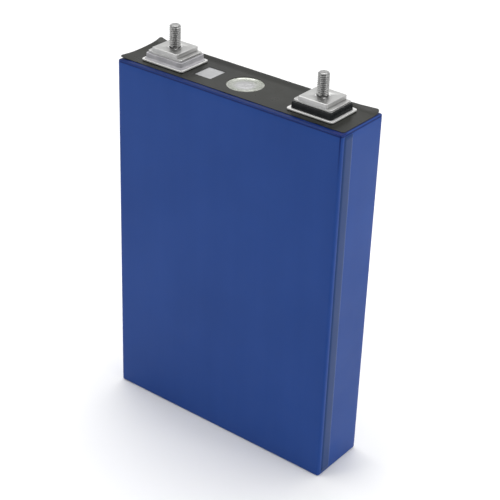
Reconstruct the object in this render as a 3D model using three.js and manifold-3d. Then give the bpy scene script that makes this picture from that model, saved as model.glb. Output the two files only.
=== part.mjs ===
// A prismatic lithium cell: a deep-drawn aluminium can in a blue insulating film, a lid under a black
// insulating sheet, and two stepped square terminals, each with a threaded stud.
// Millimetres, +Z up. The origin is the centre of the underside. The broad faces look along -Y and +Y,
// the terminals stand near the two ends along X, the positive one at -X.
import * as THREE from "three";
import { mergeVertices } from "three/addons/utils/BufferGeometryUtils.js";
import Module from "manifold-3d";

const wasm = await Module();
wasm.setup();

// ---------------------------------------------------------------- driving dimensions
const WIDTH = 141.1; // over the film and its overlap strip, along X
const DEPTH = 34.95; // over the film, along Y
const SHEET_TOP = 200; // top of the black sheet where it lies flat
const STUD_TOP = 219.8;
const TERMINAL_X = 46.4; // each terminal's distance from the middle
const PART_GAP = 0.05; // between neighbouring pieces

const film = { wall: 0.3, corner: 1.5, edge: 1.05, flange: 6.2, strip: 0.2 };
const strip = { from: 2.4, to: 9.3, endMargin: 1.6 }; // along Y from the front face, and off both ends
const can = { wall: 0.6, floor: 1.2 };
const lid = { thick: 1.8, vent: 8.5, rebate: 10.3, rebateDeep: 0.7, post: 5.5, fill: 1.5, capSeat: 4.1 };
const sheet = { thick: 0.25, left: -70.3, right: 69.2, front: -14.4, back: 16.3, corner: 1.6 };
const curl = { back: 0.9, left: 0.5, leftBack: 1.5, leftFront: 0.9, rightBack: 1.1 };
const bend = { left: -60.7, right: 45, back: 11.2, leftBack: -2, leftFront: -4 }; // where each lift begins
const splay = { from: -10, reach: 2.0 }; // the front edge of the sheet runs forward at its left end
const vent = {
  x: -0.6, y: 0.4, window: 9.65, radius: 10.2, thick: 0.6,
  rim: 8.6, dish: 0.25, scoreWide: 0.4, scoreDeep: 0.1,
};
const lotWindow = { x: -23.1, wide: 10.6, deep: 12.4, corner: 0.4 };
const fill = { x: 23.3, capRadius: 4.0, capThick: 0.5, plugRadius: 1.4, plugHead: 2.2 };

const seat = { wide: 27.3, deep: 21.8, corner: 1.6, lip: 1.0, neckInset: 0.8, lipBase: 200.1, bore: 5.5 };
const insulator = { wide: 23.9, deep: 18.9, corner: 1.2, base: 201.15, top: 204.4, bore: 5.5 };
const base = { wide: 22.4, deep: 16.9, corner: 0.9, top: 205.65, bore: 3.1 };
const pad = { wide: 16.9, deep: 16.9, corner: 0.7, top: 207.9, bore: 2.7, sink: 4.1, sinkDeep: 0.5 };
const stud = { major: 2.97, minor: 2.42, pitch: 1.0, shank: 2.6, chamfer: 0.6, relief: 0.6 };
const weld = { inner: 3.05, outer: 4.0, high: 0.4 };
const post = { radius: 4.0, spigot: 3.0, foot: 7.0, footThick: 1.0 };
const seal = { sleeve: 5.3, flange: 7.3, flangeThick: 1.6, top: 201.6 };
const inner = { wide: 40, deep: 28, thick: 2.0, bore: 7.5 };
const collector = { wide: 36, deep: 24, thick: 1.2 };
const tab = { wide: 30, thick: 0.8, bend: 2.0, foot: 7.0 };
const bag = { wall: 0.2, gap: 0.1, top: 188 };
const padBottom = { thick: 1.0, inset: 0.4 };
const core = { thick: 15.5, wide: 136.6, top: 186, slot: 0.8, gap: 0.2, slotInset: 12 };

// ---------------------------------------------------------------- heights worked out from the above
const SHEET_BASE = SHEET_TOP - sheet.thick;
const FILM_TOP = SHEET_BASE - PART_GAP;
const LID_TOP = SHEET_BASE - PART_GAP;
const LID_RIM = FILM_TOP - film.wall - PART_GAP;
const LID_BASE = LID_RIM - lid.thick;
const CAN_BASE = film.wall + PART_GAP;
const CAN_TOP = FILM_TOP - film.edge;
const CAN_FLOOR = CAN_BASE + can.floor;
const BAG_BASE = CAN_FLOOR + bag.gap;
const PAD_BASE = BAG_BASE + bag.wall + bag.gap;
const CORE_BASE = PAD_BASE + padBottom.thick + bag.gap;
const INNER_TOP = LID_BASE - PART_GAP;
const INNER_BASE = INNER_TOP - inner.thick;
const FOOT_TOP = INNER_BASE - PART_GAP;
const FOOT_BASE = FOOT_TOP - post.footThick;
const COLLECTOR_TOP = FOOT_BASE - PART_GAP;
const COLLECTOR_BASE = COLLECTOR_TOP - collector.thick;
const BASE_BASE = insulator.top + PART_GAP;
const PAD_PLATE_BASE = base.top + PART_GAP;

// ---------------------------------------------------------------- plan sizes of the nested shells
const BODY_WIDE = WIDTH - film.strip; // over the film without its overlap strip
const CAN_WIDE = BODY_WIDE - 2 * (film.wall + PART_GAP);
const CAN_DEEP = DEPTH - 2 * (film.wall + PART_GAP);
const CAN_CORNER = film.corner - film.wall - PART_GAP;
const CAVITY_WIDE = CAN_WIDE - 2 * can.wall;
const CAVITY_DEEP = CAN_DEEP - 2 * can.wall;
const CAVITY_CORNER = CAN_CORNER - can.wall;

// ---------------------------------------------------------------- materials
function finish(color, roughness, metalness) {
  return new THREE.MeshStandardMaterial({ color, roughness, metalness });
}

const FILM_BLUE = finish(0x28468c, 0.35, 0);
const SHEET_BLACK = finish(0x2b2b29, 0.6, 0);
const ALUMINIUM = finish(0xc8c8c6, 0.35, 1);
const VENT_METAL = finish(0xb8bab6, 0.5, 1);
const STUD_STEEL = finish(0x8f8f8f, 0.3, 1);
const INSULATOR_BLACK = finish(0x141618, 0.25, 0);
const INSULATOR_GREY = finish(0x96949b, 0.45, 0);
const SEAL_RUBBER = finish(0x1c1c1c, 0.7, 0);
const CLEAR_PLASTIC = finish(0xe3e6e8, 0.4, 0);
const COPPER = finish(0xb87048, 0.35, 1);
const SEPARATOR = finish(0xe9e9e4, 0.7, 0);

// ---------------------------------------------------------------- solids
function solidOf(geometry) {
  const bare = geometry.clone();
  bare.deleteAttribute("normal");
  bare.deleteAttribute("uv");
  const merged = mergeVertices(bare, 1e-4);
  return new wasm.Manifold(
    new wasm.Mesh({
      numProp: 3,
      vertProperties: new Float32Array(merged.attributes.position.array),
      triVerts: new Uint32Array(merged.index.array),
    }),
  );
}

function geometryOf(solid) {
  const mesh = solid.getMesh();
  const shared = new THREE.BufferGeometry();
  shared.setAttribute("position", new THREE.BufferAttribute(new Float32Array(mesh.vertProperties), 3));
  shared.setIndex(new THREE.BufferAttribute(new Uint32Array(mesh.triVerts), 1));
  const faceted = shared.toNonIndexed();
  faceted.computeVertexNormals();
  return faceted;
}

function cut(geometry, ...tools) {
  let solid = solidOf(geometry);
  for (const tool of tools) solid = solid.subtract(solidOf(tool));
  return geometryOf(solid);
}

function join(geometry, ...others) {
  let solid = solidOf(geometry);
  for (const other of others) solid = solid.add(solidOf(other));
  return geometryOf(solid);
}

function roundedOutline(wide, deep, corner) {
  const x = wide / 2;
  const y = deep / 2;
  const outline = new THREE.Shape();
  outline.moveTo(-x + corner, -y);
  outline.lineTo(x - corner, -y);
  outline.absarc(x - corner, -y + corner, corner, -Math.PI / 2, 0);
  outline.lineTo(x, y - corner);
  outline.absarc(x - corner, y - corner, corner, 0, Math.PI / 2);
  outline.lineTo(-x + corner, y);
  outline.absarc(-x + corner, y - corner, corner, Math.PI / 2, Math.PI);
  outline.lineTo(-x, -y + corner);
  outline.absarc(-x + corner, -y + corner, corner, Math.PI, 1.5 * Math.PI);
  return outline;
}

// A rounded rectangular plate from z = low to z = high. Each corner takes twice as many sides as segments.
function plate(wide, deep, corner, low, high, segments = 2) {
  const geometry = new THREE.ExtrudeGeometry(roundedOutline(wide, deep, corner), {
    depth: high - low,
    bevelEnabled: false,
    curveSegments: segments,
  });
  return geometry.translate(0, 0, low);
}

// The same plate with its top and bottom edges rounded by a radius.
function softPlate(wide, deep, corner, edge, low, high, segments = 2, steps = 2) {
  const geometry = new THREE.ExtrudeGeometry(roundedOutline(wide, deep, corner), {
    depth: high - low - 2 * edge,
    bevelEnabled: true,
    bevelThickness: edge,
    bevelSize: edge,
    bevelOffset: -edge,
    bevelSegments: steps,
    curveSegments: segments,
  });
  return geometry.translate(0, 0, low + edge);
}

function disc(radius, low, high, x = 0, segments = 28) {
  const geometry = new THREE.CylinderGeometry(radius, radius, high - low, segments);
  return geometry.rotateX(Math.PI / 2).translate(x, 0, (low + high) / 2);
}

// A turned solid: [radius, height] points, from the bottom of the axis to its top or round a closed ring.
function turned(profile, segments = 24) {
  const points = profile.map(([radius, height]) => new THREE.Vector2(radius, height));
  return new THREE.LatheGeometry(points, segments).rotateX(Math.PI / 2);
}

// ---------------------------------------------------------------- housing
// The film wraps all six sides: folded under the floor, and turned in over the lid's edge at the top.
function filmWrap() {
  const skin = softPlate(BODY_WIDE, DEPTH, film.corner, film.edge, 0, FILM_TOP);
  const hollow = softPlate(
    BODY_WIDE - 2 * film.wall,
    DEPTH - 2 * film.wall,
    film.corner - film.wall,
    film.edge - film.wall,
    film.wall,
    FILM_TOP - film.wall,
  );
  const mouth = plate(BODY_WIDE - 2 * film.flange, DEPTH - 2 * film.flange, 2, LID_BASE, FILM_TOP + 1);
  return cut(skin, hollow, mouth);
}

// The outer layer where the film's two ends overlap, on the +X narrow side.
function filmOverlap() {
  const high = FILM_TOP - 2 * strip.endMargin;
  const geometry = new THREE.BoxGeometry(film.strip - PART_GAP / 2, strip.to - strip.from, high);
  const x = BODY_WIDE / 2 + film.strip / 2 + PART_GAP / 4;
  return geometry.translate(x, -DEPTH / 2 + (strip.from + strip.to) / 2, FILM_TOP / 2);
}

// Deep drawn, so its bottom edge is rounded and its open mouth is square.
function canShell() {
  const body = softPlate(CAN_WIDE, CAN_DEEP, CAN_CORNER, film.edge - film.wall, CAN_BASE, CAN_TOP + 2);
  const trim = plate(WIDTH, DEPTH, 1, CAN_TOP, CAN_TOP + 3);
  return cut(body, trim, plate(CAVITY_WIDE, CAVITY_DEEP, CAVITY_CORNER, CAN_FLOOR, CAN_TOP + 1));
}

// A rim under the film's flange and a raised land that carries the terminals, the vent and the sheet.
function lidPlate() {
  const gap = 2 * PART_GAP;
  const rim = plate(CAVITY_WIDE - gap, CAVITY_DEEP - gap, CAVITY_CORNER, LID_BASE, LID_RIM);
  const mouth = 2 * (film.flange + gap);
  const land = plate(BODY_WIDE - mouth, DEPTH - mouth, 2, LID_BASE + 0.5, LID_TOP);
  return cut(
    join(rim, land),
    disc(lid.vent, LID_BASE - 1, LID_TOP + 1, vent.x).translate(0, vent.y, 0),
    disc(lid.rebate, LID_TOP - lid.rebateDeep, LID_TOP + 1, vent.x).translate(0, vent.y, 0),
    disc(lid.post, LID_BASE - 1, LID_TOP + 1, -TERMINAL_X),
    disc(lid.post, LID_BASE - 1, LID_TOP + 1, TERMINAL_X),
    disc(lid.fill, LID_BASE - 1, LID_TOP + 1, fill.x, 16),
    disc(lid.capSeat, LID_TOP - fill.capThick - PART_GAP, LID_TOP + 1, fill.x, 24),
  );
}

// 0 where a lift begins, 1 where it ends, growing with the square of the way between.
function rise(value, from, to) {
  return Math.min(1, Math.max(0, (value - from) / (to - from))) ** 2;
}

// How far the black sheet has lifted off the lid: along its back edge, at its left end and at three
// of its corners.
function sheetLift(x, y) {
  const back = rise(y, bend.back, sheet.back);
  const left = rise(x, bend.left, sheet.left);
  return (
    curl.back * back +
    curl.left * left +
    curl.leftBack * left * rise(y, bend.leftBack, sheet.back) +
    curl.leftFront * left * rise(y, bend.leftFront, sheet.front) +
    curl.rightBack * back * rise(x, bend.right, sheet.right)
  );
}

// The flat strip of sheet, made with grid lines only where it bends.
function sheetBlank() {
  const between = (from, to) => [0.25, 0.5, 0.75].map((step) => from + step * (to - from));
  const alongX = [
    sheet.left, ...between(sheet.left, bend.left), bend.left,
    bend.right, ...between(bend.right, sheet.right), sheet.right,
  ];
  const alongY = [
    sheet.front, ...between(sheet.front, bend.leftFront), bend.leftFront,
    bend.leftBack, ...between(bend.leftBack, bend.back), bend.back,
    ...between(bend.back, sheet.back), sheet.back,
  ];
  const blank = new THREE.BoxGeometry(1, 1, sheet.thick, alongX.length - 1, alongY.length - 1, 1);
  const station = (value, stations) => stations[Math.round((value + 0.5) * (stations.length - 1))];
  const position = blank.attributes.position;
  for (let i = 0; i < position.count; i += 1) {
    const x = station(position.getX(i), alongX);
    const y = station(position.getY(i), alongY);
    position.setXYZ(i, x, y, position.getZ(i) + SHEET_TOP - sheet.thick / 2 + sheetLift(x, y));
  }
  return blank;
}

function topSheet() {
  const low = SHEET_BASE - 1;
  const high = SHEET_TOP + 5;
  const neckWide = seat.wide - 2 * seat.neckInset + 4 * PART_GAP;
  const neckDeep = seat.deep - 2 * seat.neckInset + 4 * PART_GAP;
  const neckWindow = plate(neckWide, neckDeep, seat.corner - seat.neckInset, low, high);
  const outline = plate(sheet.right - sheet.left, sheet.back - sheet.front, sheet.corner, low, high);
  outline.translate((sheet.left + sheet.right) / 2, (sheet.front + sheet.back) / 2, 0);
  const trimmed = geometryOf(solidOf(sheetBlank()).intersect(solidOf(outline)));
  const position = trimmed.attributes.position;
  for (let i = 0; i < position.count; i += 1) {
    const x = position.getX(i);
    const y = position.getY(i);
    position.setY(i, y - splay.reach * rise(x, bend.left, sheet.left) * rise(y, splay.from, sheet.front));
  }
  return cut(
    trimmed,
    neckWindow.clone().translate(-TERMINAL_X, 0, 0),
    neckWindow.clone().translate(TERMINAL_X, 0, 0),
    plate(lotWindow.wide, lotWindow.deep, lotWindow.corner, low, high, 1).translate(lotWindow.x, 0, 0),
    disc(vent.window, low, high, vent.x, 40).translate(0, vent.y, 0),
  );
}

// The burst disc: a dished plate with a scored ring and a scored cross that tear when the cell vents.
function ventDisc() {
  const top = LID_TOP;
  const low = top - vent.thick;
  const dishFloor = top - vent.dish;
  const body = turned(
    [
      [0, low],
      [vent.radius, low],
      [vent.radius, top],
      [vent.rim, top],
      [vent.rim - 0.4, dishFloor],
      [0, dishFloor],
    ],
    40,
  );
  const scoreLow = dishFloor - vent.scoreDeep;
  const half = vent.scoreWide / 2;
  const scoreOuter = vent.rim - 1.4;
  const ring = turned(
    [
      [scoreOuter - vent.scoreWide, scoreLow],
      [scoreOuter, scoreLow],
      [scoreOuter, top + 1],
      [scoreOuter - vent.scoreWide, top + 1],
      [scoreOuter - vent.scoreWide, scoreLow],
    ],
    28,
  );
  const arms = [Math.PI / 4, -Math.PI / 4].map((angle) => {
    const arm = new THREE.BoxGeometry(2 * scoreOuter - 2, 2 * half, 1 + vent.scoreDeep);
    return arm.rotateZ(angle).translate(0, 0, scoreLow + (1 + vent.scoreDeep) / 2);
  });
  return cut(body, ring, ...arms).translate(vent.x, vent.y, 0);
}

function fillPlug() {
  const low = LID_BASE - 1;
  const top = LID_TOP - fill.capThick - 2 * PART_GAP;
  return turned(
    [
      [0, low],
      [fill.plugHead - 0.5, low],
      [fill.plugHead, low + 0.3],
      [fill.plugHead, LID_BASE - PART_GAP],
      [fill.plugRadius, LID_BASE - PART_GAP],
      [fill.plugRadius, top],
      [0, top],
    ],
    14,
  ).translate(fill.x, 0, 0);
}

function fillCap() {
  return disc(fill.capRadius, LID_TOP - fill.capThick, LID_TOP, fill.x, 24);
}

// ---------------------------------------------------------------- terminal pieces, centred on their own axis
// The metal seat on the lid: a neck through the sheet's window and a lip that laps over the sheet.
function terminalSeat() {
  const lipTop = seat.lipBase + seat.lip;
  const neck = plate(
    seat.wide - 2 * seat.neckInset,
    seat.deep - 2 * seat.neckInset,
    seat.corner - seat.neckInset,
    LID_TOP + PART_GAP,
    lipTop - 0.3,
  );
  const lip = softPlate(seat.wide, seat.deep, seat.corner, 0.3, seat.lipBase, lipTop);
  return cut(join(neck, lip), disc(seat.bore, LID_TOP - 1, lipTop + 1));
}

function terminalInsulator() {
  const body = softPlate(
    insulator.wide, insulator.deep, insulator.corner, 0.3, insulator.base, insulator.top, 2, 1,
  );
  return cut(body, disc(insulator.bore, insulator.base - 1, insulator.top + 1));
}

function terminalBase() {
  const body = softPlate(base.wide, base.deep, base.corner, 0.25, BASE_BASE, base.top, 2, 1);
  return cut(body, disc(base.bore, BASE_BASE - 1, base.top + 1, 0, 20));
}

// The upper plate, with a shallow sink round the stud so that its weld stays below the contact face.
function terminalPad() {
  const body = softPlate(pad.wide, pad.deep, pad.corner, 0.25, PAD_PLATE_BASE, pad.top, 2, 1);
  return cut(
    body,
    disc(pad.bore, PAD_PLATE_BASE - 1, pad.top + 1, 0, 20),
    disc(pad.sink, pad.top - pad.sinkDeep, pad.top + 1, 0, 24),
  );
}

// A metric stud: a plain shank pressed into the pad, a relief, ridges at the thread's pitch, a chamfer.
function terminalStud() {
  const threadLow = pad.top + stud.relief;
  const threadHigh = STUD_TOP - stud.chamfer;
  const turns = Math.floor((threadHigh - threadLow) / stud.pitch);
  const profile = [
    [0, PAD_PLATE_BASE + 0.1],
    [stud.shank, PAD_PLATE_BASE + 0.1],
    [stud.shank, threadLow],
  ];
  for (let turn = 0; turn < turns; turn += 1) {
    const low = threadHigh - (turns - turn) * stud.pitch;
    profile.push([stud.minor, low + 0.1]);
    profile.push([stud.major, low + stud.pitch / 2]);
  }
  profile.push([stud.minor, threadHigh], [stud.minor + 0.3, threadHigh + 0.15]);
  profile.push([stud.minor - 0.1, STUD_TOP], [0, STUD_TOP]);
  return turned(profile, 16);
}

function weldRing() {
  const low = pad.top - pad.sinkDeep + PART_GAP;
  return turned(
    [
      [weld.inner, low],
      [weld.outer, low],
      [(weld.inner + weld.outer) / 2 + 0.1, low + weld.high * 0.7],
      [weld.inner, low + weld.high],
      [weld.inner, low],
    ],
    20,
  );
}

function terminalPost() {
  const shoulder = BASE_BASE - PART_GAP;
  return turned(
    [
      [0, FOOT_BASE],
      [post.foot, FOOT_BASE],
      [post.foot, FOOT_TOP],
      [post.radius, FOOT_TOP],
      [post.radius, shoulder],
      [post.spigot, shoulder],
      [post.spigot, base.top - PART_GAP],
      [0, base.top - PART_GAP],
    ],
    20,
  );
}

function sealRing() {
  const bore = post.radius + PART_GAP;
  const low = INNER_TOP - seal.flangeThick;
  return turned(
    [
      [bore, low],
      [seal.flange, low],
      [seal.flange, INNER_TOP],
      [seal.sleeve, INNER_TOP],
      [seal.sleeve, seal.top],
      [bore, seal.top],
      [bore, low],
    ],
    20,
  );
}

function innerInsulator() {
  const body = plate(inner.wide, inner.deep, 2, INNER_BASE, INNER_TOP, 1);
  return cut(body, disc(inner.bore, INNER_BASE - 1, INNER_TOP + 1, 0, 24));
}

function currentCollector() {
  return softPlate(collector.wide, collector.deep, 2, 0.2, COLLECTOR_BASE, COLLECTOR_TOP, 1, 1);
}

// A bundle of foil tabs: up out of the winding, round a bend and flat under the collector.
// side is -1 for the front winding and +1 for the rear one.
function tabBundle(side) {
  const top = COLLECTOR_BASE - PART_GAP;
  const low = core.top + PART_GAP;
  const outer = core.gap / 2 + core.thick / 2 + tab.thick / 2;
  const inside = tab.bend - tab.thick;
  const outline = new THREE.Shape();
  outline.moveTo(outer, low);
  outline.lineTo(outer, top - tab.bend);
  outline.absarc(outer - tab.bend, top - tab.bend, tab.bend, 0, Math.PI / 2);
  outline.lineTo(outer - tab.foot, top);
  outline.lineTo(outer - tab.foot, top - tab.thick);
  outline.lineTo(outer - tab.bend, top - tab.thick);
  outline.absarc(outer - tab.bend, top - tab.bend, inside, Math.PI / 2, 0, true);
  outline.lineTo(outer - tab.thick, low);
  const geometry = new THREE.ExtrudeGeometry(outline, {
    depth: tab.wide,
    bevelEnabled: false,
    curveSegments: 2,
  });
  geometry.rotateX(Math.PI / 2).rotateZ(Math.PI / 2).translate(-tab.wide / 2, 0, 0);
  return side > 0 ? geometry : geometry.rotateZ(Math.PI);
}

// ---------------------------------------------------------------- inside the can
function cellBag() {
  const wide = CAVITY_WIDE - 2 * bag.gap;
  const deep = CAVITY_DEEP - 2 * bag.gap;
  const skin = plate(wide, deep, CAVITY_CORNER, BAG_BASE, bag.top);
  const inside = plate(
    wide - 2 * bag.wall, deep - 2 * bag.wall, CAVITY_CORNER - bag.wall, BAG_BASE + bag.wall, bag.top + 1,
  );
  return cut(skin, inside);
}

function bottomPad() {
  const shrink = 2 * (bag.gap + bag.wall + padBottom.inset);
  const body = plate(
    CAVITY_WIDE - shrink, CAVITY_DEEP - shrink, CAVITY_CORNER, PAD_BASE, PAD_BASE + padBottom.thick,
  );
  const drains = [-2, -1, 0, 1, 2].map((step) => disc(2, PAD_BASE - 1, CORE_BASE + 1, step * 24, 8));
  return cut(body, ...drains);
}

// One flat winding on an upright axis, with the slot its mandrel leaves. side is -1 in front, +1 behind.
function windingCore(side) {
  const body = plate(core.wide, core.thick, core.thick / 2 - 0.01, CORE_BASE, core.top, 4);
  const slotWide = core.wide - 2 * core.slotInset;
  const slot = new THREE.BoxGeometry(slotWide, core.slot, core.top + 10).translate(0, 0, core.top / 2);
  return cut(body, slot).translate(0, (side * (core.gap + core.thick)) / 2, 0);
}

// ---------------------------------------------------------------- assembly
const cell = new THREE.Group();
cell.position.x = -film.strip / 2; // so that the film and its overlap strip together are centred

function add(group, name, geometry, material) {
  const mesh = new THREE.Mesh(geometry, material.clone());
  mesh.name = name;
  group.add(mesh);
}

add(cell, "film_wrap", filmWrap(), FILM_BLUE);
add(cell, "film_overlap", filmOverlap(), FILM_BLUE);
add(cell, "can_shell", canShell(), ALUMINIUM);
add(cell, "lid_plate", lidPlate(), ALUMINIUM);
add(cell, "top_sheet", topSheet(), SHEET_BLACK);
add(cell, "vent_disc", ventDisc(), VENT_METAL);
add(cell, "fill_plug", fillPlug(), SEAL_RUBBER);
add(cell, "fill_cap", fillCap(), ALUMINIUM);
add(cell, "cell_bag", cellBag(), CLEAR_PLASTIC);
add(cell, "bottom_pad", bottomPad(), CLEAR_PLASTIC);
add(cell, "winding_front", windingCore(-1), SEPARATOR);
add(cell, "winding_rear", windingCore(1), SEPARATOR);

const POLES = [
  { name: "positive", x: -TERMINAL_X, insulator: INSULATOR_GREY, foil: ALUMINIUM },
  { name: "negative", x: TERMINAL_X, insulator: INSULATOR_BLACK, foil: COPPER },
];

for (const pole of POLES) {
  const terminal = new THREE.Group();
  terminal.position.x = pole.x;
  add(terminal, `terminal_seat_${pole.name}`, terminalSeat(), ALUMINIUM);
  add(terminal, `terminal_insulator_${pole.name}`, terminalInsulator(), pole.insulator);
  add(terminal, `terminal_base_${pole.name}`, terminalBase(), ALUMINIUM);
  add(terminal, `terminal_pad_${pole.name}`, terminalPad(), ALUMINIUM);
  add(terminal, `terminal_stud_${pole.name}`, terminalStud(), STUD_STEEL);
  add(terminal, `stud_weld_${pole.name}`, weldRing(), ALUMINIUM);
  add(terminal, `terminal_post_${pole.name}`, terminalPost(), pole.foil);
  add(terminal, `post_seal_${pole.name}`, sealRing(), SEAL_RUBBER);
  add(terminal, `inner_insulator_${pole.name}`, innerInsulator(), INSULATOR_BLACK);
  add(terminal, `current_collector_${pole.name}`, currentCollector(), pole.foil);
  add(terminal, `foil_tabs_front_${pole.name}`, tabBundle(-1), pole.foil);
  add(terminal, `foil_tabs_rear_${pole.name}`, tabBundle(1), pole.foil);
  cell.add(terminal);
}

export default cell;
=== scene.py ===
"""Looks for the prismatic battery cell: blue film, black top sheet, stepped terminals, studs and vent."""

import math

import bmesh
import bpy
from mathutils import Matrix, Vector, noise


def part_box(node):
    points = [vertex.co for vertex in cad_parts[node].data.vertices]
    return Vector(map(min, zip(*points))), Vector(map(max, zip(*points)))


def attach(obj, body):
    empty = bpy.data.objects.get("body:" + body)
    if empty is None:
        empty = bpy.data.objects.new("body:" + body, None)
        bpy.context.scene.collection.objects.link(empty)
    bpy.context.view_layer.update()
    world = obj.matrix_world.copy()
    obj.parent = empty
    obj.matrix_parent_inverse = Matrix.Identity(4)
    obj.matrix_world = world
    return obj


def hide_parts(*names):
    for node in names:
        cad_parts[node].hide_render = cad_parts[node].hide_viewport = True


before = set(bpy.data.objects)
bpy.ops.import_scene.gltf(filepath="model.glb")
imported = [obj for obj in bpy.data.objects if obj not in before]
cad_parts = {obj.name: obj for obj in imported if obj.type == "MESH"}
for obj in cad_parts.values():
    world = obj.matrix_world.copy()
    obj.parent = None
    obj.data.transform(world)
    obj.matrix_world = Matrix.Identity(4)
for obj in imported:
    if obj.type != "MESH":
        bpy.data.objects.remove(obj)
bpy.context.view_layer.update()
MM = 0.001
SCENE = bpy.context.scene

# ------------------------------------------------------------------ sizes, in millimetres
RING_CORNER_STEPS = 8
FILM_WALL = 0.3
FILM_CORNER = 1.5
FILM_SHOULDER = 0.85
FILM_TURNED_IN = 6.0  # width of the film's rim over the lid
FILM_FLAP = 0.12  # thickness of the folded flaps under the cell
FLAP_REACH = 13.0  # how far the short flaps reach in from the ends
OVERLAP_LEVELS = 90
OVERLAP_WAVE = 0.18
SHEET_THICK = 0.25
SHEET_CORNER = 1.6
VENT_RIM = 8.6
VENT_WINDOW = 9.65
VENT_DISH = 0.25
VENT_MIDDLE, VENT_DOME = 4.6, 0.16
SCORE_RING, SCORE_WIDTH = 7.2, 0.22
SCORE_CROSS_FROM, SCORE_CROSS_TO = 1.0, 7.0
LOT_WINDOW = {"x": -23.2, "wide": 10.6, "deep": 12.4, "corner": 0.4}
STUD_X = 46.4
STUD_PITCH = 1.0
STUD_MAJOR = 2.95
STUD_MINOR = 2.42
STUD_SHANK = 2.6
STUD_HOLE = 2.7
WELD_INNER = 3.05
SINK_RADIUS = 4.1
SINK_DEPTH = 0.5
POST_HOLE = 3.1
SLEEVE_HOLE = 5.5
POLES = ("positive", "negative")

# how far the black sheet has lifted, and where each lift begins
CURL = {"back": 0.9, "left": 0.5, "left_back": 1.5, "left_front": 0.9, "right_back": 1.1}
BEND = {"left": -60.8, "right": 44.9, "back": 11.2, "left_back": -2.0, "left_front": -4.0}
SHEET_FRONT = -14.4
SPLAY_FROM, SPLAY_REACH = -10.0, 2.0  # the front edge runs further forward at its left end
SEAT_LIP = 1.0

# the camera: where it stands, in millimetres, how it is turned, in degrees, and its focal length
CAMERA_AT = (395.05, -518.02, 474.17)
CAMERA_AZIMUTH, CAMERA_ELEVATION, CAMERA_ROLL = 36.885, 29.50, -2.139
CAMERA_LENS = 101.48
FRONT_OF_STUDIO = (0.55, -0.8, 0.25)  # the dim side of the studio, behind the camera


# ------------------------------------------------------------------ sizes read from the frame
def box_mm(node):
    low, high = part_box(node)
    return [c / MM for c in low], [c / MM for c in high]


def middle_of(node):
    low, high = box_mm(node)
    return ((low[0] + high[0]) / 2, (low[1] + high[1]) / 2)


def halves_of(node):
    low, high = box_mm(node)
    return (high[0] - low[0]) / 2, (high[1] - low[1]) / 2


FILM_LOW, FILM_HIGH = box_mm("film_wrap")
FILM_CENTRE = middle_of("film_wrap")
FILM_HALF = halves_of("film_wrap")
FILM_TOP = FILM_HIGH[2]
CREASE_Z = FILM_TOP - FILM_SHOULDER - 0.05
CREASE_X = FILM_HIGH[0] - 1.0


# ------------------------------------------------------------------ mesh helpers
def add_object(name, verts, faces):
    mesh = bpy.data.meshes.new(name)
    mesh.from_pydata([Vector(v) * MM for v in verts], [], faces)
    mesh.update()
    bm = bmesh.new()
    bm.from_mesh(mesh)
    bmesh.ops.recalc_face_normals(bm, faces=bm.faces)
    bm.to_mesh(mesh)
    bm.free()
    for polygon in mesh.polygons:
        polygon.use_smooth = True
    obj = bpy.data.objects.new(name, mesh)
    SCENE.collection.objects.link(obj)
    return obj


def stand_for(obj, material, slot, *nodes):
    obj.data.materials.clear()
    obj.data.materials.append(material)
    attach(obj, "root")
    if nodes:
        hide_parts(*nodes)
    return obj


def rounded_ring(half_x, half_y, radius, z, centre=(0, 0), edge_x=1, edge_y=1):
    """Points round a rounded rectangle, anticlockwise from the middle of the +X side's lower end."""
    radius = max(radius, 0.02)
    cx, cy = centre
    points = []
    corners = ((1, 1, 0), (-1, 1, 90), (-1, -1, 180), (1, -1, 270))
    for index, (sx, sy, start) in enumerate(corners):
        ox = cx + sx * (half_x - radius)
        oy = cy + sy * (half_y - radius)
        for step in range(RING_CORNER_STEPS + 1):
            angle = math.radians(start + 90 * step / RING_CORNER_STEPS)
            points.append((ox + radius * math.cos(angle), oy + radius * math.sin(angle), z))
        nx, ny, nstart = corners[(index + 1) % 4]
        angle = math.radians(nstart)
        end = (cx + nx * (half_x - radius) + radius * math.cos(angle),
               cy + ny * (half_y - radius) + radius * math.sin(angle))
        pieces = edge_x if index % 2 == 0 else edge_y
        first = points[-1]
        for step in range(1, pieces):
            t = step / pieces
            points.append((first[0] + (end[0] - first[0]) * t, first[1] + (end[1] - first[1]) * t, z))
    return points


def circle(radius, z, centre, segments):
    points = []
    for i in range(segments):
        angle = 2 * math.pi * i / segments
        points.append((centre[0] + radius * math.cos(angle), centre[1] + radius * math.sin(angle), z))
    return points


def loft_faces(ring_count, size, closed):
    faces = []
    last = ring_count if closed else ring_count - 1
    for ring in range(last):
        low = ring * size
        high = ((ring + 1) % ring_count) * size
        for i in range(size):
            j = (i + 1) % size
            faces.append((low + i, low + j, high + j, high + i))
    return faces


def loft(name, rings, closed=False):
    """Skin between rings of equal length: a tube with flat ends, or a closed hoop of rings."""
    size = len(rings[0])
    verts = [point for ring in rings for point in ring]
    faces = loft_faces(len(rings), size, closed)
    if not closed:
        faces.append(tuple(reversed(range(size))))
        faces.append(tuple(range((len(rings) - 1) * size, len(rings) * size)))
    return add_object(name, verts, faces)


def slerp(a, b, t):
    """The vector a share t of the way round the arc from a to b."""
    total = a.angle(b)
    if total < 1e-6:
        return a.copy()
    return (a * math.sin((1 - t) * total) + b * math.sin(t * total)) / math.sin(total)


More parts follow.
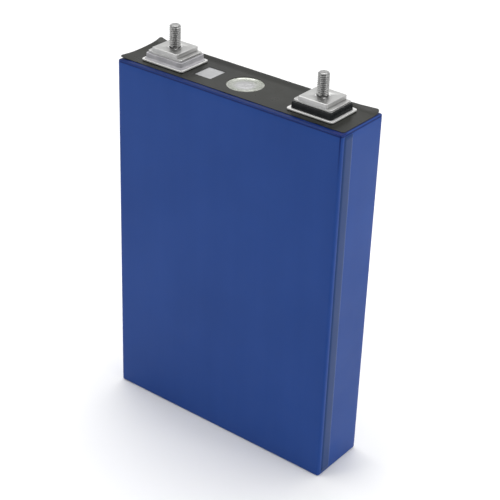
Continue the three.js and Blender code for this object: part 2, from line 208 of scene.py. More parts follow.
def filleted(corners, steps=5, support=0.08):
    """An open outline with its corners rounded. Each corner is (across, up, radius)."""
    result = []
    for index, (x, z, radius) in enumerate(corners):
        here = Vector((x, z))
        if radius <= 0 or index in (0, len(corners) - 1):
            result.append(here)
            continue
        before = Vector(corners[index - 1][:2]) - here
        after = Vector(corners[index + 1][:2]) - here
        u, v = before.normalized(), after.normalized()
        half = u.angle(v) / 2
        reach = min(radius / math.tan(half), 0.48 * before.length, 0.48 * after.length)
        start, end = here + u * reach, here + v * reach
        centre = here + (u + v).normalized() * (reach / math.cos(half))
        a, b = start - centre, end - centre
        if before.length > reach + 2 * support:
            result.append(start + u * support)
        for step in range(steps + 1):
            t = step / steps
            result.append(centre + slerp(a, b, t))
        if after.length > reach + 2 * support:
            result.append(end + v * support)
    return [(p.x, p.y) for p in result]


def plate(name, half_x, half_y, corner, centre, outline, bore):
    """A plate with a rounded rectangular outline and a round hole through it.

    outline is (inset, height) from the underside to the top; bore is (radius, height) from the top down.
    """
    rings = [
        rounded_ring(half_x - inset, half_y - inset, corner - inset, z, centre)
        for inset, z in outline
    ]
    rings += [circle_like(rings[0], radius, z, centre) for radius, z in bore]
    return loft(name, rings, closed=True)


def circle_like(ring, radius, z, centre):
    """A circle with a point in the same direction as each point of a ring."""
    points = []
    for x, y, _ in ring:
        angle = math.atan2(y - centre[1], x - centre[0])
        points.append((centre[0] + radius * math.cos(angle), centre[1] + radius * math.sin(angle), z))
    return points


def smooth(t):
    """0 up to t = 0, 1 from t = 1 on, with a soft start and end between."""
    t = min(1.0, max(0.0, t))
    return t * t * (3 - 2 * t)


# ------------------------------------------------------------------ material helpers
class Shader:
    """A material being built: shorthand for adding nodes and linking them."""

    def __init__(self, name, base, roughness, metallic=0.0, **sockets):
        self.material = bpy.data.materials.new(name)
        self.material.use_nodes = True
        self.tree = self.material.node_tree
        self.surface = self.tree.nodes["Principled BSDF"]
        self.surface.inputs["Base Color"].default_value = (*base, 1)
        self.surface.inputs["Roughness"].default_value = roughness
        self.surface.inputs["Metallic"].default_value = metallic
        for label, value in sockets.items():
            self.surface.inputs[label.replace("_", " ")].default_value = value
        self.place = self.node("ShaderNodeTexCoord").outputs["Object"]
        self.along = self.node("ShaderNodeSeparateXYZ", Vector=self.place).outputs

    def node(self, kind, **inputs):
        made = self.tree.nodes.new(kind)
        for label, value in inputs.items():
            self.feed(made, label.replace("_", " "), value)
        return made

    def feed(self, made, label, value):
        if isinstance(value, bpy.types.NodeSocket):
            self.tree.links.new(value, made.inputs[label])
        else:
            made.inputs[label].default_value = value

    def scaled(self, x, y, z):
        return self.node("ShaderNodeMapping", Vector=self.place, Scale=(x, y, z)).outputs["Vector"]

    def noise(self, size_mm, detail=3.0, rough=0.5, stretch=(1, 1, 1), warp=0.0):
        scale = [1.0 / (size_mm * MM * s) for s in stretch]
        made = self.node("ShaderNodeTexNoise", Vector=self.scaled(*scale), Scale=1.0, Detail=detail,
                         Roughness=rough, Distortion=warp)
        return made.outputs["Fac"]

    def spread(self, value, low, high, to_low=0.0, to_high=1.0):
        made = self.node("ShaderNodeMapRange", Value=value)
        for label, number in (("From Min", low), ("From Max", high), ("To Min", to_low), ("To Max", to_high)):
            made.inputs[label].default_value = number
        return made.outputs["Result"]

    def mix(self, factor, first, second):
        made = self.tree.nodes.new("ShaderNodeMix")
        made.data_type = "RGBA"
        self.feed_index(made, 0, factor)
        self.feed_index(made, 6, first)
        self.feed_index(made, 7, second)
        return made.outputs[2]

    def feed_index(self, made, index, value):
        if isinstance(value, bpy.types.NodeSocket):
            self.tree.links.new(value, made.inputs[index])
        elif isinstance(value, (int, float)):
            made.inputs[index].default_value = value
        else:
            made.inputs[index].default_value = (*value, 1)

    def math(self, operation, first, second=0.0):
        made = self.tree.nodes.new("ShaderNodeMath")
        made.operation = operation
        for index, value in enumerate((first, second)):
            if isinstance(value, bpy.types.NodeSocket):
                self.tree.links.new(value, made.inputs[index])
            else:
                made.inputs[index].default_value = value
        return made.outputs[0]

    def band(self, axis, centre_mm, half_mm, core_mm=0.0):
        """1 round a place along an axis, fading to 0 at a half width on either side."""
        away = self.math("ABSOLUTE", self.math("SUBTRACT", self.along[axis], centre_mm * MM))
        return self.spread(away, core_mm * MM, half_mm * MM, 1.0, 0.0)

    def from_axis(self, centre_x_mm, mirrored=False):
        """Distance from an upright axis in the middle plane, or from the nearer of two mirrored ones."""
        across = self.along["X"]
        if mirrored:
            across = self.math("ABSOLUTE", self.math("SUBTRACT", across, FILM_CENTRE[0] * MM))
        across = self.math("SUBTRACT", across, centre_x_mm * MM)
        squares = [self.math("MULTIPLY", value, value) for value in (across, self.along["Y"])]
        return self.math("SQRT", self.math("ADD", *squares))

    def facing_up(self):
        """1 on faces that look up, 0 on upright ones."""
        normal = self.node("ShaderNodeNewGeometry").outputs["True Normal"]
        up = self.node("ShaderNodeSeparateXYZ", Vector=normal).outputs["Z"]
        return self.spread(up, 0.25, 0.85)

    def color(self, value):
        self.tree.links.new(value, self.surface.inputs["Base Color"])

    def roughness(self, value):
        self.tree.links.new(value, self.surface.inputs["Roughness"])

    def bump(self, height, distance_mm, strength=1.0):
        made = self.node("ShaderNodeBump", Height=height, Strength=strength, Distance=distance_mm * MM)
        before = self.surface.inputs["Normal"].links
        if before:
            self.tree.links.new(before[0].from_socket, made.inputs["Normal"])
        self.tree.links.new(made.outputs["Normal"], self.surface.inputs["Normal"])


def painted_crease_shade(shader, shoulder):
    """Painted shade where the film is creased: round its top, down the upper end of one corner, and in the
    gap under the sheet over that corner.
    """
    level = shader.band("Z", CREASE_Z, 0.5, 0.2)
    near_corner = shader.band("X", CREASE_X, 0.5, 0.1)
    upper_end = shader.spread(shader.along["Z"], (CREASE_Z - 22) * MM, (CREASE_Z - 2) * MM)
    upright = shader.math("MULTIPLY", near_corner, upper_end)
    # painted shade on the shoulder under the sheet's near corner, where the sheet overhangs a gap
    corner_gap_shade = shader.math("MULTIPLY", shader.band("X", FILM_HIGH[0] - 2, 6, 3),
                        shader.band("Y", FILM_LOW[1] + 1.5, 4, 2))
    corner_gap_shade = shader.math("MULTIPLY", corner_gap_shade, shoulder)
    return shader.math("MAXIMUM", shader.math("MAXIMUM", level, upright), corner_gap_shade)


def film_material(name, deep, pale):
    """Satin blue film: cloudy between two tones, with painted shade as navy in its creases and as slate over
    the shoulder, and a painted highlight over the shoulder along the narrow side.
    """
    shader = Shader(name, pale, 0.36, Specular_IOR_Level=0.13)
    cloud = shader.math("MULTIPLY", shader.noise(55, detail=3.0, rough=0.55), 0.65)
    streak = shader.math("MULTIPLY", shader.noise(9, detail=4.0, stretch=(1, 1, 14)), 0.35)
    tone = shader.mix(shader.spread(shader.math("ADD", cloud, streak), 0.35, 0.65), deep, pale)
    shoulder = shader.spread(shader.along["Z"], (CREASE_Z + 0.2) * MM, (CREASE_Z + 0.8) * MM)
    # Painted light over the shoulder: painted shade where it runs under the sheet's edge, and a painted
    # highlight along the narrow side.
    narrow_side_glint = shader.band("X", FILM_HIGH[0], 1.6, 0.9)
    over = shader.mix(narrow_side_glint, (0.001, 0.014, 0.095), (0.02, 0.055, 0.2))
    tone = shader.mix(shoulder, tone, over)
    # painted shade: the creases and the gap under the sheet's corner turn navy
    crease_shade = shader.math("MULTIPLY", painted_crease_shade(shader, shoulder), 0.95)
    shader.color(shader.mix(crease_shade, tone, (0.0, 0.009, 0.1)))
    shader.roughness(shader.spread(shader.noise(22, detail=5.0), 0.3, 0.7, 0.3, 0.42))
    shader.bump(shader.noise(30, detail=2.0), 0.12)
    shader.bump(shader.noise(2.4, detail=3.0, stretch=(1, 1, 4)), 0.006)
    return shader


def plain_film():
    return film_material("blue_film", (0.0115, 0.051, 0.234), (0.0155, 0.06, 0.264)).material


def overlap_film():
    """The lapped layer looks greyer, and a painted highlight marks its cut end as a thin pale line."""
    shader = film_material("blue_film_overlap", (0.018, 0.047, 0.152), (0.024, 0.056, 0.175))
    tone = shader.surface.inputs["Base Color"].links[0].from_socket
    seam_y = box_mm("film_overlap")[1][1]
    # painted highlight: a pale band along the seam at the lap's cut end
    shader.color(shader.mix(shader.band("Y", seam_y, 0.5), tone, (0.06, 0.11, 0.32)))
    return shader.material


def sheet_material():
    shader = Shader("black_sheet", (0.008, 0.0085, 0.007), 0.3, Specular_IOR_Level=0.26)
    cloud = shader.noise(24, detail=4.0)
    tint = shader.spread(cloud, 0.35, 0.65)
    shader.color(shader.mix(tint, (0.008, 0.009, 0.007), (0.0125, 0.013, 0.0095)))
    shader.roughness(shader.spread(shader.noise(6, detail=5.0), 0.3, 0.7, 0.26, 0.36))
    shader.bump(shader.noise(0.35, detail=2.0), 0.02)
    shader.bump(shader.noise(11, detail=2.0), 0.05)
    return shader.material


def brushed_aluminium(name, base, roughness, side=0.5, metallic=1.0):
    """Aluminium with a fine grain drawn along X, faint blotches, and painted shade on its upright cut sides,
    their tones scaled by side.
    """
    shader = Shader(name, base, roughness, metallic)
    lines = shader.noise(0.35, detail=6.0, rough=0.65, stretch=(14, 1, 1))
    blotch = shader.noise(7, detail=4.0, rough=0.6)
    dark = tuple(0.86 * c for c in base)
    light = tuple(min(1.0, 1.05 * c) for c in base)
    both = shader.math("ADD", shader.math("MULTIPLY", lines, 0.5), shader.math("MULTIPLY", blotch, 0.5))
    mottle = shader.spread(both, 0.35, 0.65)
    face = shader.mix(mottle, dark, light)
    # painted shade: upright faces take the tones scaled by side, faces that look up keep them
    edge = shader.mix(mottle, tuple(side * c for c in dark), tuple(side * c for c in light))
    shader.color(shader.mix(shader.facing_up(), edge, face))
    shader.roughness(shader.spread(lines, 0.3, 0.7, roughness - 0.07, roughness + 0.1))
    shader.bump(lines, 0.012)
    return shader.material


def vent_material():
    """The burst disc: pitted and blotchy near its rim, smoother and paler in the middle."""
    shader = Shader("vent_aluminium", (0.47, 0.475, 0.46), 0.42, 1.0)
    blotch = shader.spread(shader.noise(2.6, detail=6.0, rough=0.7, warp=1.2), 0.38, 0.62)
    outer = shader.spread(shader.from_axis(middle_of("vent_disc")[0]), 4.0 * MM, 6.5 * MM)
    ring = shader.mix(blotch, (0.29, 0.305, 0.27), (0.52, 0.53, 0.49))
    plain = shader.mix(blotch, (0.43, 0.43, 0.435), (0.5, 0.5, 0.505))
    shader.color(shader.mix(outer, plain, ring))
    shader.roughness(shader.spread(blotch, 0.0, 1.0, 0.5, 0.36))
    shader.bump(shader.noise(0.9, detail=4.0, rough=0.7), 0.03)
    shader.bump(blotch, 0.02)
    return shader.material


def stud_material():
    """Bright steel with painted shade in its thread roots. Both studs stand the same distance from the
    middle.
    """
    shader = Shader("stud_steel", (0.4, 0.4, 0.4), 0.26, 1.0)
    grime = shader.noise(1.6, detail=5.0, rough=0.6)
    radius = shader.from_axis(STUD_X, mirrored=True)
    # painted shade in the thread roots; crests and faces that look up are left unshaded
    unshaded_crest = shader.spread(radius, (STUD_MINOR + 0.08) * MM, (STUD_MAJOR - 0.08) * MM)
    unshaded_crest = shader.math("MAXIMUM", unshaded_crest, shader.facing_up())
    metal = shader.mix(shader.spread(grime, 0.35, 0.65), (0.36, 0.36, 0.355), (0.48, 0.48, 0.475))
    shader.color(shader.mix(unshaded_crest, (0.17, 0.17, 0.17), metal))
    shader.roughness(shader.spread(grime, 0.3, 0.7, 0.22, 0.38))
    shader.bump(shader.noise(0.25, detail=3.0), 0.01)
    return shader.material


def moulded_plastic(name, dark, light, roughness, grain_mm, depth_mm, **sockets):
    shader = Shader(name, light, roughness, **sockets)
    cloud = shader.noise(6, detail=4.0)
    shader.color(shader.mix(shader.spread(cloud, 0.35, 0.65), dark, light))
    shader.roughness(shader.spread(shader.noise(3, detail=4.0), 0.3, 0.7, roughness - 0.06, roughness + 0.08))
    shader.bump(shader.noise(grain_mm, detail=3.0), depth_mm)
    return shader.material


def foil_material(name, dark, light, roughness):
    shader = Shader(name, light, roughness, 1.0)
    crumple = shader.noise(4, detail=5.0)
    shader.color(shader.mix(shader.spread(crumple, 0.35, 0.65), dark, light))
    shader.roughness(shader.spread(crumple, 0.3, 0.7, roughness - 0.05, roughness + 0.1))
    shader.bump(crumple, 0.05)
    return shader.material


# ------------------------------------------------------------------ the film
def film_inset(x, y, z):
    """How far the shrunk film stands in from its box: slow waves, and puckers near both ends."""
    wave = 0.5 + 0.5 * noise.noise(Vector((x / 38, y / 30, z / 52)))
    near_top = math.exp(-(FILM_TOP - z) / 5.0)
    near_base = math.exp(-z / 6.0)
    pucker = 0.5 + 0.5 * noise.noise(Vector((x / 5.5, y / 5.5, z / 30)) + Vector((7, 3, 1)))
    return 0.05 * wave + 0.10 * pucker * max(near_top, near_base)


def film_outline():
    """(inset, height) from the floor, up the outside, over the shoulder, under the sheet and back inside."""
    base = FILM_FLAP
    stations = [(6.0, base), (2.0, base), (1.0, base)]
    for step in range(6):
        angle = math.radians(90 * step / 5)
        stations.append((FILM_SHOULDER * (1 - math.sin(angle)), base + FILM_SHOULDER * (1 - math.cos(angle))))
    levels = 52
    low, high = base + FILM_SHOULDER, CREASE_Z - 0.6
    stations += [(0, low + 0.2)]
    stations += [(0, low + (high - low) * i / levels) for i in range(1, levels + 1)]
    stations += [(0.05, CREASE_Z - 0.35), (0.16, CREASE_Z - 0.1), (0.2, CREASE_Z), (0.16, CREASE_Z + 0.1)]
    stations += [(0.05, CREASE_Z + 0.25)]
    for step in range(8):
        angle = math.radians(90 * step / 7)
        inset = FILM_SHOULDER * (1 - math.cos(angle))
        stations.append((inset, FILM_TOP - FILM_SHOULDER + FILM_SHOULDER * math.sin(angle)))
    stations += [(1.4, FILM_TOP), (2.2, FILM_TOP), (3.2, FILM_TOP), (FILM_TURNED_IN, FILM_TOP)]
    inner_top = FILM_TOP - FILM_WALL
    stations += [(FILM_TURNED_IN, inner_top), (FILM_SHOULDER, inner_top)]
    stations += [(FILM_WALL, inner_top - 1.0), (FILM_WALL, 2.0)]
    stations += [(1.5, base + FILM_WALL), (6.0, base + FILM_WALL)]
    return stations


def drawn_in(point):
    """A point of the film's ring, moved in from the side that it is on by the film's waves and puckers."""
    x, y, z = point
    across, along = x - FILM_CENTRE[0], y - FILM_CENTRE[1]
    depth = film_inset(x, y, z)
    if abs(across) / FILM_HALF[0] > abs(along) / FILM_HALF[1]:
        return (x - math.copysign(depth, across), y, z)
    return (x, y - math.copysign(depth, along), z)


def build_film():
    rings = []
    for inset, z in film_outline():
        ring = rounded_ring(FILM_HALF[0] - inset, FILM_HALF[1] - inset, max(FILM_CORNER - inset, 0.4), z,
                            FILM_CENTRE, edge_x=40, edge_y=12)
        if inset <= 2.2:
            ring = [drawn_in(point) for point in ring]
        rings.append(ring)
    return loft("film_skin", rings)


def build_film_flaps(material):
    """The film's folded ends under the cell: two trapezoid flaps and one long flap over them."""
    half_x, half_y = FILM_HALF[0] - 1.6, FILM_HALF[1] - 1.6
    cx, cy = FILM_CENTRE
    tip = half_x - FLAP_REACH
    outlines = {
        "film_fold_left": [(-half_x, -half_y), (-tip, -2.5), (-tip, 3.0), (-half_x, half_y)],
        "film_fold_right": [(half_x, half_y), (tip, 3.0), (tip, -2.5), (half_x, -half_y)],
        "film_fold_long": [(1 - tip, -half_y), (tip - 1, -half_y), (tip - 1, 2.0), (1 - tip, 2.0)],
    }
    for name, outline in outlines.items():
        middle = Vector((sum(p[0] for p in outline) / 4, sum(p[1] for p in outline) / 4))
        rings = []
        for inset, z in ((0.1, FILM_FLAP), (0.0, FILM_FLAP * 0.6), (0.0, FILM_FLAP * 0.3), (0.12, 0.0)):
            ring = []
            for px, py in outline:
                inward = (middle - Vector((px, py))).normalized() * inset
                ring.append((cx + px + inward.x, cy + py + inward.y, z))
            rings.append(ring)
        stand_for(loft(name, rings), material, "film")


def overlap_face():
    """The lap's outer face: a grid of points that swells at its rooted side and thins at its free edge."""
    low, high = box_mm("film_overlap")
    shares = (0.0, 0.25, 0.5, 0.75, 0.93, 0.98, 1.0)
    verts = []
    for i in range(OVERLAP_LEVELS + 1):
        z = low[2] + (high[2] - low[2]) * i / OVERLAP_LEVELS
        wobble = OVERLAP_WAVE * noise.noise(Vector((0, 5, z / 17)))
        for t in shares:
            y = low[1] + (high[1] + wobble - low[1]) * t
            swell = (0.15 + 0.85 * smooth((t + 0.02) / 0.3)) * (1 - 0.55 * smooth((t - 0.9) / 0.1))
            verts.append((low[0] - 0.05 + (high[0] - low[0]) * swell, y, z))
    return verts, len(shares)


def build_film_overlap():
    """The outer end of the film where it laps over itself on the narrow side, with a slightly wavy edge."""
    verts, width = overlap_face()
    back = len(verts)
    back_x = box_mm("film_overlap")[0][0] - 0.12
    faces = []
    for i in range(OVERLAP_LEVELS):
        for j in range(width - 1):
            a = i * width + j
            faces.append((a, a + 1, a + 1 + width, a + width))
    verts += [(back_x, y, z) for _, y, z in verts]
    faces += [tuple(back + v for v in reversed(face)) for face in faces]
    rim = list(range(width))
    rim += [i * width + width - 1 for i in range(1, OVERLAP_LEVELS + 1)]
    rim += [OVERLAP_LEVELS * width + j for j in reversed(range(width - 1))]
    rim += [i * width for i in reversed(range(1, OVERLAP_LEVELS))]
    for index, a in enumerate(rim):
        b = rim[(index + 1) % len(rim)]
        faces.append((a, back + a, back + b, b))
    return add_object("film_overlap_edge", verts, faces)


# ------------------------------------------------------------------ the black sheet
def rise(value, start, end):
    """0 where a lift begins, 1 where it ends, growing with the square of the way between."""
    return min(1.0, max(0.0, (value - start) / (end - start))) ** 2


def sheet_lift(x, y, low, high):
    """Lift along the back edge, at the left end and at three corners."""
    back = rise(y, BEND["back"], high[1])
    left = rise(x, BEND["left"], low[0])
    lift = CURL["back"] * back + CURL["left"] * left
    lift += CURL["left_back"] * left * rise(y, BEND["left_back"], high[1])
    lift += CURL["left_front"] * left * rise(y, BEND["left_front"], low[1])
    return lift + CURL["right_back"] * back * rise(x, BEND["right"], high[0])


def outline_spline(curve, points):
    spline = curve.splines.new("POLY")
    spline.points.add(len(points) - 1)
    for target, (x, y, _) in zip(spline.points, points):
        target.co = (x * MM, y * MM, 0, 1)
    spline.use_cyclic_u = True


def flat_sheet(low, high, vent_middle):
    """The flat outline of the sheet with its windows, filled."""
    centre = ((low[0] + high[0]) / 2, (low[1] + high[1]) / 2)
    curve = bpy.data.curves.new("sheet_outline", "CURVE")
    curve.dimensions = "2D"
    curve.fill_mode = "BOTH"
    outline_spline(curve, rounded_ring((high[0] - low[0]) / 2, (high[1] - low[1]) / 2,
                                       SHEET_CORNER, 0, centre, 30, 10))
    for pole in POLES:
        half_x, half_y = halves_of(f"terminal_seat_{pole}")
        middle = middle_of(f"terminal_seat_{pole}")
        outline_spline(curve, rounded_ring(half_x - 0.6, half_y - 0.6, 1.0, 0, middle))
    lot = LOT_WINDOW
    outline_spline(curve, rounded_ring(lot["wide"] / 2, lot["deep"] / 2, lot["corner"], 0, (lot["x"], 0)))
    outline_spline(curve, circle(VENT_WINDOW, 0, vent_middle, 72))
    holder = bpy.data.objects.new("sheet_outline", curve)
    SCENE.collection.objects.link(holder)
    flat = bpy.data.meshes.new_from_object(holder)
    bpy.data.objects.remove(holder)
    bpy.data.curves.remove(curve)
    return flat


def cut_for_bending(bm, low):
    """Cut the flat sheet into narrow strips both ways, closer together where it bends."""
    across, along = Vector((1, 0, 0)), Vector((0, 1, 0))
    cuts = (
        (across, [low[0] + 1.0 * i for i in range(1, 10)]),
        (across, [-56 + 6 * i for i in range(21)]),
        (along, [BEND["back"] + 0.6 * i for i in range(9)]),
        (along, [low[1] + 1.5 * i for i in range(1, 18)]),
    )
    for axis, stations in cuts:
        for place in stations:
            everything = bm.verts[:] + bm.edges[:] + bm.faces[:]
            bmesh.ops.bisect_plane(bm, geom=everything, plane_co=axis * place * MM, plane_no=axis)
    bmesh.ops.triangulate(bm, faces=bm.faces)


def bend(bm, low, high):
    """Lift the sheet's edges, splay its front left corner and give it a faint ripple."""
    for vert in bm.verts:
        x, y = vert.co.x / MM, vert.co.y / MM
        ripple = 0.05 * noise.noise(Vector((x / 12, y / 9, 3)))
        splay = SPLAY_REACH * rise(x, BEND["left"], low[0]) * rise(y, SPLAY_FROM, SHEET_FRONT)
        vert.co.y = (y - splay) * MM
        vert.co.z = (low[2] + SHEET_THICK + sheet_lift(x, y, low, high) + ripple - 0.05) * MM
    bmesh.ops.recalc_face_normals(bm, faces=bm.faces)
    if sum(face.normal.z for face in bm.faces) < 0:
        bmesh.ops.reverse_faces(bm, faces=bm.faces)


def thicken(obj):
    """Give the sheet its thickness and softened edges, and keep the result as its mesh."""
    solid = obj.modifiers.new("thickness", "SOLIDIFY")
    solid.thickness = (SHEET_THICK - 0.04) * MM
    solid.offset = -1
    edge = obj.modifiers.new("edge", "BEVEL")
    edge.width = 0.05 * MM
    edge.segments = 2
    edge.limit_method = "ANGLE"
    edge.angle_limit = math.radians(50)
    baked = bpy.data.meshes.new_from_object(obj.evaluated_get(bpy.context.evaluated_depsgraph_get()))
    obj.modifiers.clear()
    obj.data = baked
    for polygon in baked.polygons:
        polygon.use_smooth = True
    baked.set_sharp_from_angle(angle=math.radians(40))


def build_sheet(vent_middle):
    low, high = box_mm("top_sheet")
    low[1] = SHEET_FRONT
    bm = bmesh.new()
    bm.from_mesh(flat_sheet(low, high, vent_middle))
    bmesh.ops.remove_doubles(bm, verts=bm.verts, dist=1e-6)
    cut_for_bending(bm, low)
    bend(bm, low, high)
    mesh = bpy.data.meshes.new("insulating_sheet")
    bm.to_mesh(mesh)
    bm.free()
    obj = bpy.data.objects.new("insulating_sheet", mesh)
    SCENE.collection.objects.link(obj)
    thicken(obj)
    return obj


# ------------------------------------------------------------------ the vent
def vent_height(radius, angle, top):
    """Height of the burst disc: a rim, a dished floor, a scored ring and cross, and a raised middle."""
    level = top - VENT_DISH * smooth((VENT_RIM + 0.1 - radius) / 0.5)
    level += VENT_DOME * smooth((VENT_MIDDLE - radius) / 1.6)
    level -= 0.1 * math.exp(-(((radius - SCORE_RING) / SCORE_WIDTH) ** 2))
    if SCORE_CROSS_FROM < radius < SCORE_CROSS_TO:
        for turn in (math.pi / 4, 3 * math.pi / 4):
            across = abs(radius * math.sin(angle - turn))
            level -= 0.07 * math.exp(-((across / SCORE_WIDTH) ** 2))
    return level


def build_vent(centre):
    low, high = box_mm("vent_disc")
    outer = (high[0] - low[0]) / 2
    segments, steps = 128, 64
    rings = []
    for step in range(1, steps + 1):
        radius = outer * step / steps
        ring = []
        for i, (x, y, _) in enumerate(circle(radius, 0, centre, segments)):
            ring.append((x, y, vent_height(radius, 2 * math.pi * i / segments, high[2])))
        rings.append(ring)
    rings.append(circle(outer, low[2], centre, segments))
    return loft("burst_vent", rings)


# ------------------------------------------------------------------ terminals
def build_seat(pole):
    """A pressed seat: a neck through the sheet, a lip over it, and a rim that stands a little proud."""
    node = f"terminal_seat_{pole}"
    low, high = box_mm(node)
    half_x, half_y = halves_of(node)
    lip = high[2] - SEAT_LIP
    rim = high[2]
    tray = rim - 0.06
    outline = filleted([
        (0.85, low[2], 0), (0.85, lip, 0.0), (0.25, lip, 0.12), (0.0, lip + 0.25, 0.15),
        (0.0, rim, 0.25), (0.7, rim, 0.1), (0.9, tray, 0.1), (2.6, tray, 0),
    ], steps=4, support=0.03)
    bore = ((SLEEVE_HOLE, tray), (SLEEVE_HOLE, low[2]))
    return plate(f"seat_{pole}", half_x, half_y, 1.6, middle_of(node), outline, bore)


def build_insulator(pole):
    """The moulded block between seat and terminal, with a flared foot, a drafted wall and a soft top edge."""
    node = f"terminal_insulator_{pole}"
    low, high = box_mm(node)
    half_x, half_y = halves_of(node)
    flare = 0.75 if pole == "positive" else 0.1
    foot = low[2] - 0.1
    outline = filleted([
        (-flare, foot, 0), (-flare, foot + 0.22, 0.1), (0.0, foot + 0.95, 0.5), (0.12, high[2], 0.3),
        (1.6, high[2], 0),
    ], steps=5, support=0.05)
    bore = ((SLEEVE_HOLE, high[2]), (SLEEVE_HOLE, foot))
    return plate(f"insulator_{pole}", half_x, half_y, 1.2, middle_of(node), outline, bore)


def build_base(pole):
    """The lower terminal plate, with a fine groove round its side."""
    node = f"terminal_base_{pole}"
    low, high = box_mm(node)
    half_x, half_y = halves_of(node)
    groove = (low[2] + high[2]) / 2 - 0.1
    outline = filleted([
        (0.3, low[2], 0), (0.0, low[2], 0.1), (0.0, groove - 0.1, 0.03), (0.16, groove, 0.03),
        (0.0, groove + 0.1, 0.03), (0.0, high[2], 0.2), (1.0, high[2], 0),
    ], steps=4, support=0.03)
    bore = ((POST_HOLE, high[2]), (POST_HOLE, low[2]))
    return plate(f"terminal_plate_{pole}", half_x, half_y, 0.9, middle_of(node), outline, bore)


def build_pad(pole):
    """The upper terminal plate, with a soft machined edge and a sink round the stud for its weld."""
    node = f"terminal_pad_{pole}"
    low, high = box_mm(node)
    half_x, half_y = halves_of(node)
    outline = filleted([
        (0.2, low[2], 0), (0.0, low[2], 0.1), (0.0, high[2], 0.32), (1.4, high[2], 0.0),
    ], steps=6, support=0.06)
    floor = high[2] - SINK_DEPTH
    bore = (
        (SINK_RADIUS + 0.1, high[2]), (SINK_RADIUS, high[2] - 0.1), (SINK_RADIUS, floor),
        (STUD_HOLE, floor), (STUD_HOLE, low[2]),
    )
    return plate(f"terminal_top_{pole}", half_x, half_y, 0.7, middle_of(node), outline, bore)


def thread_radius(z, angle, low, high):
    """Radius of a metric thread: flat crests and roots, fading in at the foot and chamfered at the tip."""
    phase = ((z - low) / STUD_PITCH - angle / (2 * math.pi)) % 1.0
    flank = (abs(phase - 0.5) * 2 - 0.2) / 0.62
    radius = STUD_MAJOR - (STUD_MAJOR - STUD_MINOR) * min(1.0, max(0.0, flank))
    runout = smooth((z - low) / 0.9)
    radius = (STUD_MINOR + 0.2) * (1 - runout) + radius * runout
    chamfer = STUD_MINOR - 0.12 + 1.0 * (high - z)
    return min(radius, chamfer)


def build_stud(pole):
    """A plain shank through the terminal's top plate, then a helical thread up to a chamfered tip."""
    node = f"terminal_stud_{pole}"
    low, high = box_mm(node)
    centre = middle_of(node)
    pad_top = box_mm(f"terminal_pad_{pole}")[1][2]
    segments, per_pitch = 64, 12
    start = pad_top + 0.2
    count = int((high[2] - start) / STUD_PITCH * per_pitch)
    rings = [circle(STUD_SHANK, z, centre, segments) for z in (low[2], pad_top - 0.2)]
    for level in range(count + 1):
        z = start + (high[2] - start) * level / count
        ring = []
        for i in range(segments):
            angle = 2 * math.pi * i / segments
            radius = thread_radius(z, angle, start, high[2])
            ring.append((centre[0] + radius * math.cos(angle), centre[1] + radius * math.sin(angle), z))
        rings.append(ring)
    rings.append([
        (centre[0] + 0.72 * (x - centre[0]), centre[1] + 0.72 * (y - centre[1]), z)
        for x, y, z in rings[-1]
    ])
    return loft(f"stud_{pole}", rings)


def build_weld(pole):
    """The bead round the stud's foot, with small ripples."""
    node = f"stud_weld_{pole}"
    low, high = box_mm(node)
    centre = middle_of(node)
    outer = halves_of(node)[0]
    tall = high[2] - low[2] + 0.05
    profile = (
        (WELD_INNER, 0.0), (outer, 0.02), (outer, 0.55), (outer - 0.12, 0.85), (outer - 0.35, 1.0),
        (WELD_INNER + 0.1, 1.0), (WELD_INNER, 0.9),
    )
    rings = []
    for radius, share in profile:
        ring = []
        for i in range(96):
            angle = 2 * math.pi * i / 96
            ripple = 1 - 0.015 * (0.5 + 0.5 * math.sin(17 * angle)) * (radius > WELD_INNER + 0.2)
            ring.append((centre[0] + radius * ripple * math.cos(angle),
                         centre[1] + radius * ripple * math.sin(angle), low[2] + tall * share))
        rings.append(ring)
    return loft(f"weld_bead_{pole}", rings, closed=True)


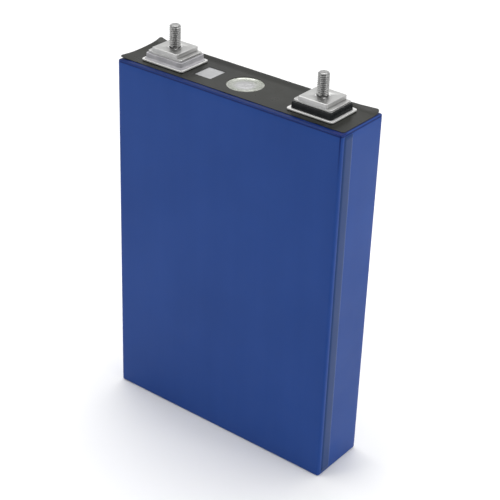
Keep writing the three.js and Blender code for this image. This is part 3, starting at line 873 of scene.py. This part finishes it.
# ------------------------------------------------------------------ dressing the object
def dress():
    film = plain_film()
    sheet = sheet_material()
    # side= sets how much painted shade darkens each part's upright faces
    terminal = brushed_aluminium("terminal_aluminium", (0.575, 0.575, 0.567), 0.34, side=0.84)
    seat = brushed_aluminium("seat_aluminium", (0.7, 0.7, 0.69), 0.42, side=0.88, metallic=0.35)
    lid = brushed_aluminium("lid_aluminium", (0.54, 0.545, 0.555), 0.36)
    vent = vent_material()
    bead = brushed_aluminium("weld_aluminium", (0.85, 0.85, 0.84), 0.3, side=1.0, metallic=0.4)
    steel = stud_material()
    grey = moulded_plastic("grey_insulator", (0.36, 0.355, 0.375), (0.46, 0.455, 0.475), 0.42, 0.4, 0.01)
    black = moulded_plastic("black_insulator", (0.006, 0.007, 0.008), (0.012, 0.014, 0.015), 0.24, 0.5, 0.006,
                            Specular_IOR_Level=0.16)
    rubber = moulded_plastic("seal_rubber", (0.015, 0.015, 0.015), (0.03, 0.03, 0.03), 0.65, 0.3, 0.01)
    milky = moulded_plastic("milky_plastic", (0.66, 0.69, 0.71), (0.76, 0.79, 0.8), 0.4, 1.2, 0.02)
    paper = moulded_plastic("separator", (0.74, 0.74, 0.7), (0.82, 0.82, 0.78), 0.6, 0.5, 0.02)
    foil = foil_material("aluminium_foil", (0.66, 0.66, 0.66), (0.82, 0.82, 0.81), 0.25)
    copper = foil_material("copper_foil", (0.62, 0.31, 0.2), (0.8, 0.44, 0.3), 0.28)

    stand_for(build_film(), film, "film", "film_wrap")
    build_film_flaps(film)
    stand_for(build_film_overlap(), overlap_film(), "film", "film_overlap")
    middle = middle_of("vent_disc")
    stand_for(build_sheet(middle), sheet, "sheet", "top_sheet")
    stand_for(build_vent(middle), vent, "vent", "vent_disc")
    for pole in POLES:
        plastic, slot = (grey, "insulator_grey") if pole == "positive" else (black, "insulator_black")
        stand_for(build_seat(pole), seat, "seat", f"terminal_seat_{pole}")
        stand_for(build_insulator(pole), plastic, slot, f"terminal_insulator_{pole}")
        stand_for(build_base(pole), terminal, "terminal", f"terminal_base_{pole}")
        stand_for(build_pad(pole), terminal, "terminal", f"terminal_pad_{pole}")
        stand_for(build_stud(pole), steel, "stud", f"terminal_stud_{pole}")
        stand_for(build_weld(pole), bead, "weld", f"stud_weld_{pole}")
    carried = {
        "can_shell": lid, "lid_plate": lid, "fill_cap": lid, "fill_plug": rubber, "cell_bag": milky,
        "bottom_pad": milky, "winding_front": paper, "winding_rear": paper,
    }
    for pole, metal in zip(POLES, (foil, copper)):
        carried[f"terminal_post_{pole}"] = metal
        carried[f"current_collector_{pole}"] = metal
        carried[f"foil_tabs_front_{pole}"] = metal
        carried[f"foil_tabs_rear_{pole}"] = metal
        carried[f"post_seal_{pole}"] = rubber
        carried[f"inner_insulator_{pole}"] = black
    for node, material in carried.items():
        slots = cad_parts[node].data.materials
        slots.clear()
        slots.append(material)


# ------------------------------------------------------------------ floor, light and camera
def build_floor():
    bpy.ops.mesh.primitive_plane_add(size=6, location=(0, 0, 0))
    floor = bpy.context.object
    floor.name = "floor"
    shader = Shader("pale_floor", (0.93, 0.93, 0.93), 0.6)
    shader.color(shader.mix(shader.noise(300, detail=2.0), (0.92, 0.92, 0.92), (0.94, 0.94, 0.94)))
    floor.data.materials.append(shader.material)


def add_light(name, place, target, size, power):
    data = bpy.data.lights.new(name, "AREA")
    data.shape = "RECTANGLE"
    data.size, data.size_y = size
    data.energy = power
    lamp = bpy.data.objects.new(name, data)
    lamp.location = place
    lamp.rotation_euler = (Vector(target) - Vector(place)).to_track_quat("-Z", "Y").to_euler()
    SCENE.collection.objects.link(lamp)


def build_light():
    """A bright studio that is dimmer on the camera's side, and three large soft lamps."""
    world = bpy.data.worlds.new("studio")
    SCENE.world = world
    world.use_nodes = True
    background = world.node_tree.nodes["Background"]
    background.inputs["Strength"].default_value = 0.8
    nodes, links = world.node_tree.nodes, world.node_tree.links
    toward_front = nodes.new("ShaderNodeVectorMath")
    toward_front.operation = "DOT_PRODUCT"
    toward_front.inputs[1].default_value = FRONT_OF_STUDIO
    fade = nodes.new("ShaderNodeMapRange")
    for label, number in (("From Min", 0.1), ("From Max", 0.95), ("To Min", 1.0), ("To Max", 0.22)):
        fade.inputs[label].default_value = number
    links.new(nodes.new("ShaderNodeTexCoord").outputs["Generated"], toward_front.inputs[0])
    links.new(toward_front.outputs["Value"], fade.inputs["Value"])
    links.new(fade.outputs["Result"], background.inputs["Color"])
    aim = (0, 0, 0.12)
    add_light("overhead", (-0.2, 0.2, 1.3), aim, (1.2, 1.0), 12)
    add_light("right_side", (1.3, 0.1, 0.6), aim, (0.6, 0.9), 6)
    add_light("front_left", (-0.8, -1.1, 0.8), aim, (0.7, 0.7), 4)


def build_camera():
    azimuth, elevation, roll = (math.radians(a) for a in (CAMERA_AZIMUTH, CAMERA_ELEVATION, CAMERA_ROLL))
    back = Vector((math.sin(azimuth) * math.cos(elevation), -math.cos(azimuth) * math.cos(elevation),
                   math.sin(elevation)))
    right = (-back).cross(Vector((0, 0, 1))).normalized()
    down = (-back).cross(right)
    turned_right = math.cos(roll) * right + math.sin(roll) * down
    turned_down = math.cos(roll) * down - math.sin(roll) * right
    data = bpy.data.cameras.new("camera")
    data.lens = CAMERA_LENS
    data.sensor_width = 36
    data.clip_start = 0.01
    camera = bpy.data.objects.new("camera", data)
    camera.matrix_world = Matrix((
        (turned_right.x, -turned_down.x, back.x, CAMERA_AT[0] * MM),
        (turned_right.y, -turned_down.y, back.y, CAMERA_AT[1] * MM),
        (turned_right.z, -turned_down.z, back.z, CAMERA_AT[2] * MM),
        (0, 0, 0, 1),
    ))
    SCENE.collection.objects.link(camera)
    SCENE.camera = camera


dress()
build_floor()
build_light()
build_camera()
SCENE.view_settings.view_transform = "Standard"
